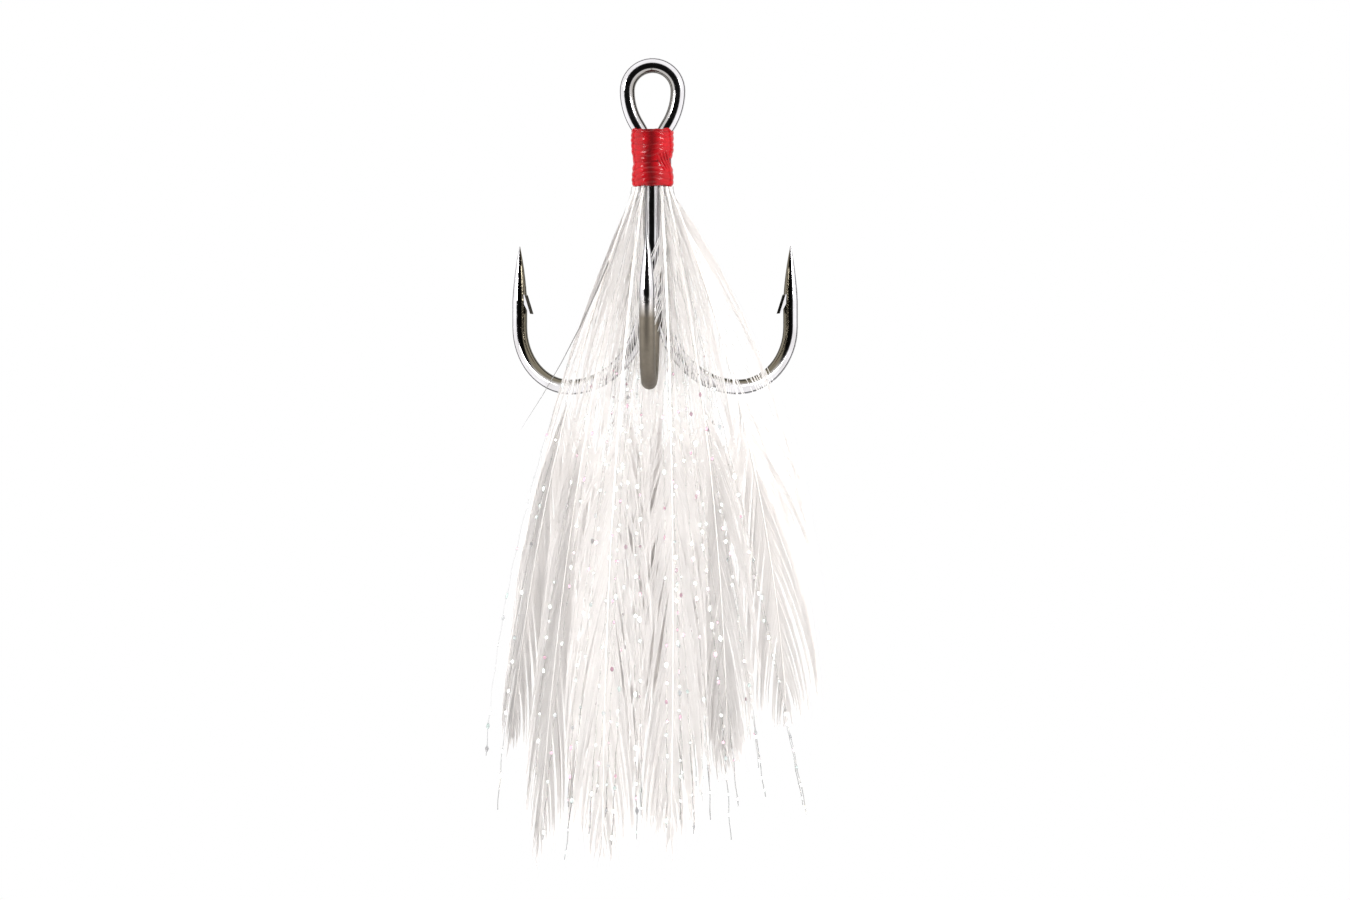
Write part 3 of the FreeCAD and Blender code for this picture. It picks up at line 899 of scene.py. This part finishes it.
# ---------------------------------------------------------------- the feathers
@dataclass(frozen=True)
class Hackle:
    """One hackle feather: a curved, tapered quill with a half vane of barbs on each side.

    Its stem is a parabola in a plane that leans from the shank. A share counts along the stem
    from the binding, 0, to the quill's end, 1, and drops are measured below the binding.
    """

    name: str
    azimuth: float
    tip_x: float
    tip_drop: float
    belly_x: float
    belly_drop: float
    lean: float
    left: float
    right: float
    twist: float
    cup: float
    seed: int
    strays: tuple[tuple[float, float, float], ...] = ()
    lean_span: float = 48.0
    quill_r: float = 0.13
    quill_tip_r: float = 0.03
    bound_length: float = 0.25
    broadest: float = 0.70
    narrows: float = 0.88
    tip_share: float = 0.72
    bare: float = 0.40
    loose_barbs: int = 50
    barbs: int = 250
    barb_length: float = 16.0
    barb_width: float = 0.10
    upper_widths: tuple[float, float, float] = (0.32, 0.32, 0.60)
    stray_width: float = 0.9
    barb_thick: float = 0.015
    evenness: float = 8.0
    segments: int = 5
    clearance: float = 0.07
    parting: tuple[float, float] = (0.58, 0.10)

    def stem(self, wires: HookWires, share: np.ndarray) -> np.ndarray:
        """Points of the stem, which runs on straight beyond its ends.

        Args:
            wires: the hook that the quill is bound to.
            share: shares of the stem.

        Returns:
            A point for each share.
        """
        start = wires.around(self.azimuth, wires.quill_ring_r, wires.wrap_low_z)
        s = np.clip(share, 0, 1)
        over = share - s
        x = (1 - s) ** 2 * start[0] + 2 * s * (1 - s) * self.belly_x + s**2 * self.tip_x
        drop = 2 * s * (1 - s) * self.belly_drop + s**2 * self.tip_drop
        x = x + over * 2 * np.where(over > 0, self.tip_x - self.belly_x, self.belly_x - start[0])
        drop = drop + over * 2 * np.where(over > 0, self.tip_drop - self.belly_drop, self.belly_drop)
        y = start[1] + self.lean * drop / self.lean_span
        return np.stack([x, y, wires.wrap_low_z - drop], axis=-1)

    def directions(self, wires: HookWires, share: np.ndarray) -> tuple[np.ndarray, np.ndarray, np.ndarray]:
        """Directions of the vane.

        Args:
            wires: the hook that the quill is bound to.
            share: shares of the stem.

        Returns:
            The directions along, across and out of the vane at each share.
        """
        ahead = self.stem(wires, share + 0.01) - self.stem(wires, share - 0.01)
        along = unit(ahead)
        across = np.zeros_like(along)
        across[..., 0] = 1.0
        across = unit(across - along * np.sum(across * along, axis=-1, keepdims=True))
        normal = np.cross(along, across)
        angle = np.radians(self.twist) * np.clip(share, 0, 1)[..., None]
        turned = across * np.cos(angle) + normal * np.sin(angle)
        return along, turned, np.cross(along, turned)

    def half_width(self, side: Side, share: np.ndarray) -> np.ndarray:
        """Width of a half vane.

        Args:
            side: which half vane.
            share: shares of the stem.

        Returns:
            The width at each share.
        """
        full = self.left if side is Side.LEFT else self.right
        rise = np.sin(math.pi / 2 * np.clip(share / self.broadest, 0, 1))
        close = np.clip((share - self.narrows) / (1 - self.narrows), 0, 1)
        return full * rise * (1 - (1 - self.tip_share) * close)

    def build_quill(self, wires: HookWires, finishes: Finishes) -> bpy.types.Object:
        """The stem, from under the binding to its fine end."""
        steps, sides = 34, 10
        share = np.linspace(0, 1, steps)
        centre = self.stem(wires, share)
        top = centre[0] + np.array([0, 0, self.bound_length])
        centre = np.vstack([top, centre])
        share = np.concatenate([[0.0], share])
        _, across, normal = self.directions(wires, share)
        radius = self.quill_r + (self.quill_tip_r - self.quill_r) * share**0.5
        turn = np.linspace(0, 2 * math.pi, sides, endpoint=False)
        ring = across[:, None] * np.cos(turn)[None, :, None] + normal[:, None] * np.sin(turn)[None, :, None]
        points = wires.keep_clear(centre, self.quill_r)[:, None] + ring * radius[:, None, None]
        tone = np.repeat(0.5 + 0.3 * np.sin(share * 9 + self.seed), sides)
        return make_piece(
            "quill_" + self.name + "_stem",
            points.reshape(-1, 3),
            loft_faces(len(centre), sides),
            finishes.quill,
            ["quill_" + self.name],
            {"tone": tone},
        )

    @staticmethod
    def locks(count: int, rng: np.random.Generator) -> np.ndarray:
        """Number of the lock that each barb clings to, a few barbs in each."""
        sizes = rng.integers(5, 20, size=count)
        return np.repeat(np.arange(count), sizes)[:count]

    def barb_ends(self, rng: np.random.Generator) -> tuple[np.ndarray, np.ndarray, np.ndarray]:
        """Where barbs begin and end along the stem.

        The stem is almost bare at first, with loose barbs; then they stand close. A barb that
        would end beyond the quill stops at the feather's blunt end, nearer to the stem the
        later it begins.

        Args:
            rng: the feather's random numbers.

        Returns:
            Shares of the beginnings, shares of the ends, and how far each barb is cut short.
        """
        reach = self.barb_length / self.tip_drop
        loose = rng.uniform(0, 1, self.loose_barbs) ** 2.2 * (self.bare + 0.06)
        loose_end = loose + reach * rng.uniform(0.5, 1.8, self.loose_barbs)
        u = (np.arange(self.barbs) + rng.uniform(0, 1, self.barbs)) / self.barbs
        close = self.bare + (0.985 - self.bare) * (1.2 * u - 0.2 * u**2)
        close_end = close + reach * np.clip(0.50 + (close - self.bare) / 0.30, 0, 1)
        order = np.argsort(np.concatenate([loose_end, close_end]))
        start = np.concatenate([loose, close])[order]
        goal = np.concatenate([loose_end, close_end])[order]
        past = np.clip((goal - 1) / reach, 0, 1)
        return start, np.minimum(goal, 1.0) - 0.055 * (1 - past) ** 2 * (goal > 1), past

    def barb_lines(self, wires: HookWires, side: Side, rng: np.random.Generator) -> tuple[np.ndarray, ...]:
        """Centrelines of one half vane's barbs.

        Args:
            wires: the hook that the barbs part round.
            side: which half vane.
            rng: the feather's random numbers.

        Returns:
            Points and normals by barb and station, and a tone for each barb.
        """
        start, end, past = self.barb_ends(rng)
        count = len(start)
        lock = self.locks(count, rng)
        lock_count = lock.max() + 1
        width = self.half_width(side, end) * (1 - past**1.2)
        end = end + rng.normal(0, 0.014, lock_count)[lock] + rng.normal(0, 0.007, count)
        width *= 1 + rng.normal(0, 0.06, lock_count)[lock] + rng.normal(0, 0.04, count)
        for values in (end, width):
            sums = np.bincount(lock, values, lock_count) / np.bincount(lock, minlength=lock_count)
            values += (sums[lock] - values) * 0.65
        v = np.linspace(0, 1, self.segments + 1)[None, :]
        share = start[:, None] + (end - start)[:, None] * v
        out = width[:, None] * (1 - (1 - v) ** 1.55)
        full = max(self.left, self.right)
        lift = self.cup * (out / full) ** 2 + rng.normal(0, 0.05, lock_count)[lock][:, None] * v
        lift = lift + 0.03 * np.sin(7 * v + rng.uniform(0, 6.3, count)[:, None]) * v
        _, across, normal = self.directions(wires, share)
        points = self.stem(wires, share) + across * (side.value * out)[..., None] + normal * lift[..., None]
        opening = rng.normal(*self.parting, count)
        points = wires.keep_clear(wires.part_front(points, opening), self.clearance)
        tone = 0.60 + rng.normal(0, 0.08, lock_count)[lock] + rng.normal(0, 0.05, count)
        return points, normal, tone

    def stray_lines(self, wires: HookWires) -> tuple[np.ndarray, ...]:
        """Centrelines of long barbs that stand off from the vane, as barb_lines gives them."""
        v = np.linspace(0, 1, self.segments + 1)[:, None]
        lines = np.zeros((len(self.strays), self.segments + 1, 3))
        for line, (share, tip_x, tip_drop) in zip(lines, self.strays):
            root = self.stem(wires, np.array(share))
            tip = np.array([tip_x, root[1] - 1.2, wires.wrap_low_z - tip_drop])
            elbow = (root + tip) / 2 + np.array([0.10 * (root[0] - tip_x), -0.3, -0.5])
            line[:] = (1 - v) ** 2 * root + 2 * v * (1 - v) * elbow + v**2 * tip
        normal = np.zeros_like(lines)
        normal[..., 1] = -1.0
        # Painted shade: the stray barbs take a tone below zero, which colours them grey.
        return lines, normal, np.full(len(self.strays), -0.7)

    def build_vane(self, wires: HookWires, finishes: Finishes) -> bpy.types.Object:
        """Both half vanes: hundreds of separate tapered barbs."""
        rng = np.random.default_rng(self.seed)
        halves = [self.barb_lines(wires, side, rng) for side in Side] + [self.stray_lines(wires)]
        points = np.concatenate([h[0] for h in halves])
        normal = np.concatenate([h[1] for h in halves])
        tone = np.concatenate([h[2] for h in halves])
        count, stations = points.shape[:2]
        along = unit(np.gradient(points, axis=1))
        flat = unit(np.cross(normal, along))
        v = np.linspace(0, 1, stations)
        taper = (1 - 0.93 * v**2.2) * (0.8 + 0.2 * np.minimum(v * 6, 1))
        thin = np.interp(points[..., 2], [-29.0, -22.5, -20.0, -15.0], [1.0, *self.upper_widths])
        thin[count - len(self.strays) :] = self.stray_width
        half = flat * (self.barb_width / 2 * taper * thin)[..., None]
        deep = normal * (self.barb_thick / 2 * (1 - 0.6 * v))[None, :, None]
        shell = ribbon(points, half, deep).reshape(-1, 3)
        level = normal + self.evenness * np.array([0.0, -1.0, 0.0]) * np.sign(-normal[..., 1:2])
        facing = ribbon(0 * points, 0.2 * flat, unit(level)).reshape(-1, 3)
        one = loft_faces(stations, CORNERS)
        faces = [tuple(i + b * stations * CORNERS for i in f) for b in range(count) for f in one]
        # Painted shade: barbs higher up take a lower tone, so they are coloured darker towards the top.
        dull = np.interp(points[..., 2], [-32.0, -22.0], [0.0, 0.45])
        values = np.repeat((tone[:, None] - dull)[..., None], CORNERS, axis=2)
        return make_piece(
            "vane_" + self.name + "_barbs",
            shell,
            faces,
            finishes.barbs,
            ["vane_" + self.name],
            {"tone": values.reshape(-1)},
            unit(facing),
        )

    def build(self, wires: HookWires, finishes: Finishes) -> None:
        """Makes the quill and the vane."""
        self.build_quill(wires, finishes)
        vane = self.build_vane(wires, finishes)
        LOG.info("feather %s has %d faces", self.name, len(vane.data.polygons))


FEATHERS = (
    Hackle("centre_left", 238.0, -3.4, 47.9, -3.4, 21.0, -3.0, 2.6, 2.8, -8.0, 0.5, 11),
    Hackle("centre_right", -56.0, 1.4, 46.7, 1.9, 21.0, -2.3, 2.6, 2.6, 6.0, 0.5, 12),
    Hackle("inner_left", 216.0, -8.0, 47.0, -6.2, 20.0, -1.6, 1.4, 2.6, -14.0, 0.6, 13),
    Hackle("inner_right", -34.0, 5.4, 40.6, 5.0, 19.0, -1.0, 2.8, 2.4, 10.0, 0.5, 14),
    Hackle(
        "outer_left", 194.0, -10.1, 39.8, -8.0, 18.0, -0.5, 1.0, 3.0, -18.0, 0.7, 15, ((0.13, -9.35, 17.4),)
    ),
    Hackle("outer_right", -12.0, 9.6, 38.2, 8.5, 18.0, 0.0, 3.4, 3.4, 15.0, 0.8, 16),
    Hackle("back_left", 110.0, -4.8, 43.6, -1.5, 20.0, 2.3, 2.6, 2.6, 16.0, -0.5, 17),
    Hackle("back_right", 62.0, 5.0, 41.6, 1.4, 20.0, 2.0, 2.6, 2.6, -16.0, -0.5, 18),
    Hackle("back_centre", 86.0, 0.4, 45.6, 0.0, 21.0, 3.7, 2.8, 2.8, 5.0, -0.7, 19),
)


# ---------------------------------------------------------------- the flash
PER_CRIMP = 4  # stations for each crimp
AT_CRIMP = 3  # which of them is the crimp itself, counted from the strand's hidden top


@dataclass(frozen=True)
class Strand:
    """One strand of crimped film: where it leaves the binding and where its tip hangs."""

    ring: Ring
    azimuth: float
    tip_x: float
    tip_drop: float
    lean: float
    belly: float = 0.08


@dataclass(frozen=True)
class FlashBundle:
    """A group of crimped strands that leave the binding side by side."""

    name: str
    strands: tuple[Strand, ...]
    seed: int
    inner_r: float = 0.195
    ring_step: float = 0.08
    lean_span: float = 48.0
    width: float = 0.28
    neck: float = 0.055
    thick: float = 0.02
    crimp: float = 1.45
    speck_half: float = 0.30
    parting: float = 0.62
    clearance: float = 0.12
    twins: int = 2
    hidden: float = 0.05

    def stations(self, long: float, rng: np.random.Generator) -> tuple[np.ndarray, np.ndarray]:
        """Places down a strand: before, at and after each crimp, and midway to the next.

        Args:
            long: the strand's length.
            rng: the group's random numbers.

        Returns:
            Shares of the length, and the number of the crimp that each place belongs to.
        """
        gaps = self.crimp * rng.uniform(0.55, 1.45, int(long / self.crimp))
        centres = np.cumsum(gaps) * (long - 1.0) / gaps.sum()
        half = self.speck_half * rng.uniform(0.5, 1.0, len(centres))
        midway = centres + 0.5 * np.append(np.diff(centres), 1.0)
        places = np.stack([centres - half, centres, centres + half, midway], axis=-1).reshape(-1)
        which = np.repeat(np.arange(len(centres)), PER_CRIMP)
        return np.clip(np.concatenate([[0.0], places]) / long, 0, 1), np.concatenate([[0], which])

    def line(
        self,
        strand: Strand,
        twin: int,
        long: float,
        s: np.ndarray,
        wires: HookWires,
        rng: np.random.Generator,
    ) -> np.ndarray:
        """Centreline of one strand, or of the strand that hangs beside it.

        Args:
            strand: where the strand leaves the binding and where its tip hangs.
            twin: 0 for the strand itself, 1 for the one beside it.
            long: its length.
            s: shares of the length, one for each station.
            wires: the hook that it is bound to.
            rng: the group's random numbers.

        Returns:
            A point for each station, after one that is hidden in the binding.
        """
        step = self.ring_step if strand.ring is Ring.OUTER else 0.0
        radius = wires.quill_ring_r + self.inner_r + step
        start = wires.around(strand.azimuth + 2.0 * twin, radius, wires.wrap_low_z)
        tip_x = strand.tip_x + twin * rng.uniform(-1.3, 1.3)
        x = start[0] + (tip_x - start[0]) * (s + 4 * strand.belly * s * (1 - s))
        y = start[1] + strand.lean * long * s / self.lean_span
        for axis, reach in ((x, 0.40), (y, 0.30)):
            waves = np.sin(math.pi * s * rng.uniform(1.2, 2.4) + rng.uniform(0, 3))
            ripple = np.sin(s * long / self.crimp * math.pi * 1.02 + rng.uniform(0, 6))
            axis += rng.uniform(-reach, reach) * waves * s**1.5 + 0.035 * ripple * np.minimum(s * 8, 1)
        line = np.stack([x, y, wires.wrap_low_z - long * s], axis=-1)
        top = line[0] + np.array([0, 0, self.hidden])
        line = np.vstack([top, line])[None]
        line = wires.part_front(line, np.array([self.parting]))
        return wires.keep_clear(line, self.clearance)[0]

    def build(self, wires: HookWires, finishes: Finishes) -> None:
        """Makes the group's piece."""
        rng = np.random.default_rng(self.seed)
        points, faces, tones, specks, normals = [], [], [], [], []
        for strand, twin in [(strand, twin) for strand in self.strands for twin in range(self.twins)]:
            long = strand.tip_drop - twin * rng.uniform(0.5, 5.0)
            share, which = self.stations(long, rng)
            line = self.line(strand, twin, long, share, wires, rng)
            which = np.concatenate([[0], which])
            count = len(line)
            crimps = which.max() + 1
            along = unit(np.gradient(line, axis=0))
            flare = (np.arange(count) % PER_CRIMP == AT_CRIMP) * 1.0
            lower = np.clip((wires.wrap_low_z - 9.0 - line[:, 2]) / 8.0, 0.15, 1.0)
            flare = flare * lower * rng.choice([0.0, 0.3, 0.6, 0.8, 1.0], crimps)[which]
            tilt = rng.choice([-1, 1], crimps) * rng.uniform(0.2, 0.95, crimps)
            turn = tilt[which]
            front = np.zeros_like(line)
            front[:, 0] = np.sin(turn)
            front[:, 1] = -np.cos(turn)
            front[:, 2] = rng.normal(0, 0.35, crimps)[which]
            across = unit(np.cross(along, front))
            normal = np.cross(across, along)
            wide = self.neck + (self.width - self.neck) * flare
            half, deep = across * (wide / 2)[:, None], normal * (self.thick / 2)
            faces += loft_faces(count, CORNERS, len(points))
            points += list(ribbon(line, -half, deep).reshape(-1, 3))
            normals += list(ribbon(0 * line, 0 * half, normal).reshape(-1, 3))
            tones += list(np.repeat(rng.uniform(0, 1, crimps)[which], CORNERS))
            specks += list(np.repeat(flare, CORNERS))
        piece = make_piece(
            "flash_" + self.name + "_strands",
            np.array(points),
            faces,
            finishes.film,
            ["flash_" + self.name],
            {"tone": np.array(tones), "speck": np.array(specks)},
            np.array(normals),
        )
        LOG.info("%s has %d faces", piece.name, len(piece.data.polygons))


FLASH = (
    FlashBundle(
        "front_left",
        (
            Strand(Ring.OUTER, 240.0, -10.9, 44.9, -5.0, 0.19),
            Strand(Ring.OUTER, 247.0, -7.7, 47.0, -5.0, 0.14),
            Strand(Ring.OUTER, 254.0, -6.1, 48.4, -5.0),
            Strand(Ring.OUTER, 261.0, -4.3, 46.6, -5.0),
            Strand(Ring.INNER, 240.0, -2.6, 47.4, -3.8),
            Strand(Ring.INNER, 246.0, -1.2, 47.0, -3.8),
        ),
        31,
    ),
    FlashBundle(
        "front_right",
        (
            Strand(Ring.OUTER, 300.0, 11.5, 45.2, -5.0, 0.02),
            Strand(Ring.OUTER, 293.0, 8.5, 44.0, -5.0, 0.04),
            Strand(Ring.OUTER, 286.0, 5.8, 47.0, -5.0, 0.06),
            Strand(Ring.OUTER, 279.0, 4.3, 45.6, -5.0),
            Strand(Ring.INNER, 300.0, 2.8, 46.6, -3.8),
            Strand(Ring.INNER, 294.0, 1.2, 46.2, -3.8),
        ),
        32,
    ),
    FlashBundle(
        "sides",
        (
            Strand(Ring.OUTER, 182.0, -8.6, 43.4, 0.5),
            Strand(Ring.OUTER, 176.0, -5.4, 45.2, 1.0),
            Strand(Ring.OUTER, -2.0, 7.6, 42.0, 0.9),
            Strand(Ring.OUTER, 4.0, 3.6, 44.4, 1.3),
        ),
        33,
    ),
    FlashBundle(
        "back",
        (
            Strand(Ring.OUTER, 122.0, -4.2, 42.4, 4.8, 0.0),
            Strand(Ring.OUTER, 109.6, -2.6, 44.0, 4.8, 0.0),
            Strand(Ring.OUTER, 97.2, -0.9, 45.4, 4.8, 0.0),
            Strand(Ring.OUTER, 82.8, 0.8, 44.6, 4.8, 0.0),
            Strand(Ring.OUTER, 70.4, 2.4, 45.8, 4.8, 0.0),
            Strand(Ring.OUTER, 58.0, 3.9, 43.2, 4.8, 0.0),
        ),
        34,
    ),
)


# ---------------------------------------------------------------- the studio
LAMPS = (  # name, place, width and height, watts, whether gloss shows it
    ("left_lamp", (-0.82, -0.38, 0.25), (0.90, 0.90), 0.8, False),
    ("right_lamp", (0.82, -0.38, 0.15), (0.90, 0.90), 0.8, False),
    ("front_lamp", (-0.10, -1.00, 0.25), (1.20, 1.20), 1.0, False),
    ("back_lamp", (0.10, 1.00, 0.00), (1.20, 1.20), 2.9, False),
    ("left_gleam", (-0.60, -0.50, 0.18), (0.22, 0.16), 2.9, True),
    ("right_gleam", (0.62, -0.50, 0.24), (0.22, 0.16), 3.6, True),
)


@dataclass(frozen=True)
class Studio:
    """White room, soft light, pale floor and the camera."""

    azimuth: float = 1.8
    elevation: float = -1.7
    distance: float = 0.600
    frame_width: float = 0.09643
    aim: tuple[float, float, float] = (0.0016, 0.0, -0.0257)
    clip: tuple[float, float] = (0.01, 20.0)
    mirror_strength: float = 2.5
    floor_drop: float = 0.20
    floor_size: float = 3.0
    sensor: float = 36.0
    dark_axis: tuple[float, float, float] = (-0.10, -0.98, -0.05)
    rings: tuple[tuple[float, float], ...] = (
        (0, 0.004),
        (32, 0.006),
        (40, 0.05),
        (48, 0.95),
        (108, 1.00),
        (114, 0.02),
        (127, 0.02),
        (133, 0.55),
        (180, 0.60),
    )

    def camera(self) -> None:
        """A long lens at the height of the feathers."""
        data = bpy.data.cameras.new("camera")
        data.sensor_width = self.sensor
        data.lens = self.sensor * self.distance / self.frame_width
        data.clip_start, data.clip_end = self.clip
        camera = bpy.data.objects.new("camera", data)
        bpy.context.scene.collection.objects.link(camera)
        a, e = math.radians(self.azimuth), math.radians(self.elevation)
        back = Vector((math.sin(a) * math.cos(e), -math.cos(a) * math.cos(e), math.sin(e)))
        camera.location = Vector(self.aim) + back * self.distance
        camera.rotation_euler = back.to_track_quat("Z", "Y").to_euler()
        bpy.context.scene.camera = camera

    def floor(self) -> None:
        """A pale matt floor below the hanging hook."""
        half = self.floor_size / 2
        mesh = bpy.data.meshes.new("floor")
        corners = [(-half, -half, 0), (half, -half, 0), (half, half, 0), (-half, half, 0)]
        mesh.from_pydata(corners, [], [(0, 1, 2, 3)])
        material, n, shader, _ = start_material("pale_floor")
        noise = n.add("TexNoise", {"Vector": n.object_place(), "Scale": 6.0, "Detail": 3.0})
        n.set(shader, "Base Color", n.mix(noise.outputs[0], (0.93, 0.93, 0.93), (0.96, 0.96, 0.96)))
        n.set(shader, "Roughness", 0.9)
        mesh.materials.append(material)
        floor = bpy.data.objects.new("floor", mesh)
        bpy.context.scene.collection.objects.link(floor)
        floor.location = (0, 0, -self.floor_drop)
        floor.visible_glossy = False

    def lamp(
        self, name: str, place: Vector, size: tuple[float, float], watts: float, mirrored: bool
    ) -> None:
        """A lamp aimed at the hook.

        Args:
            name: its name.
            place: where it stands.
            size: its width and height.
            watts: its power.
            mirrored: whether gloss and metal show it.
        """
        data = bpy.data.lights.new(name, "AREA")
        data.shape = "RECTANGLE"
        data.size, data.size_y = size
        data.energy = watts
        lamp = bpy.data.objects.new(name, data)
        bpy.context.scene.collection.objects.link(lamp)
        lamp.location = place
        lamp.visible_glossy = mirrored
        lamp.rotation_euler = (place - Vector(self.aim)).to_track_quat("Z", "Y").to_euler()

    def world(self) -> None:
        """White background, with bright side panels and a dark room in what the metal mirrors."""
        world = bpy.data.worlds.new("white_room")
        bpy.context.scene.world = world
        world.use_nodes = True
        n = Nodes(world.node_tree)
        shown = world.node_tree.nodes["Background"]
        n.set(shown, "Color", (1.0, 1.0, 1.0, 1.0))
        direction = n.add("TexCoord").outputs["Generated"]
        axis = tuple(Vector(self.dark_axis).normalized())
        angle = n.math("ARCCOSINE", n.vector("DOT_PRODUCT", direction, axis))
        share = n.math("DIVIDE", angle, math.pi)
        room = n.ramp(share, [(degrees / 180, (v, v, v)) for degrees, v in self.rings])
        mirrored = n.add("Background", {"Color": room, "Strength": self.mirror_strength})
        seen = n.add("LightPath").outputs["Is Camera Ray"]
        both = n.add("MixShader", {0: seen, 1: mirrored.outputs[0], 2: shown.outputs[0]})
        n.set(world.node_tree.nodes["World Output"], "Surface", both.outputs[0])

    def build(self) -> None:
        """Makes the whole set."""
        self.camera()
        self.floor()
        self.world()
        for name, place, size, watts, mirrored in LAMPS:
            self.lamp(name, Vector(place), size, watts, mirrored)
        bpy.context.scene.view_settings.view_transform = "Standard"


def main() -> None:
    """Builds the set, dresses the wires and makes every soft piece."""
    logging.basicConfig(level=logging.INFO, format="%(name)s: %(message)s")
    Studio().build()
    wires = HookWires.from_frame()
    finishes = Finishes.build(wires.axis_y)
    wires.dress(finishes)
    ThreadBinding(wires).build(finishes)
    for feather in FEATHERS:
        feather.build(wires, finishes)
    for bundle in FLASH:
        bundle.build(wires, finishes)


if __name__ == "__main__":
    main()
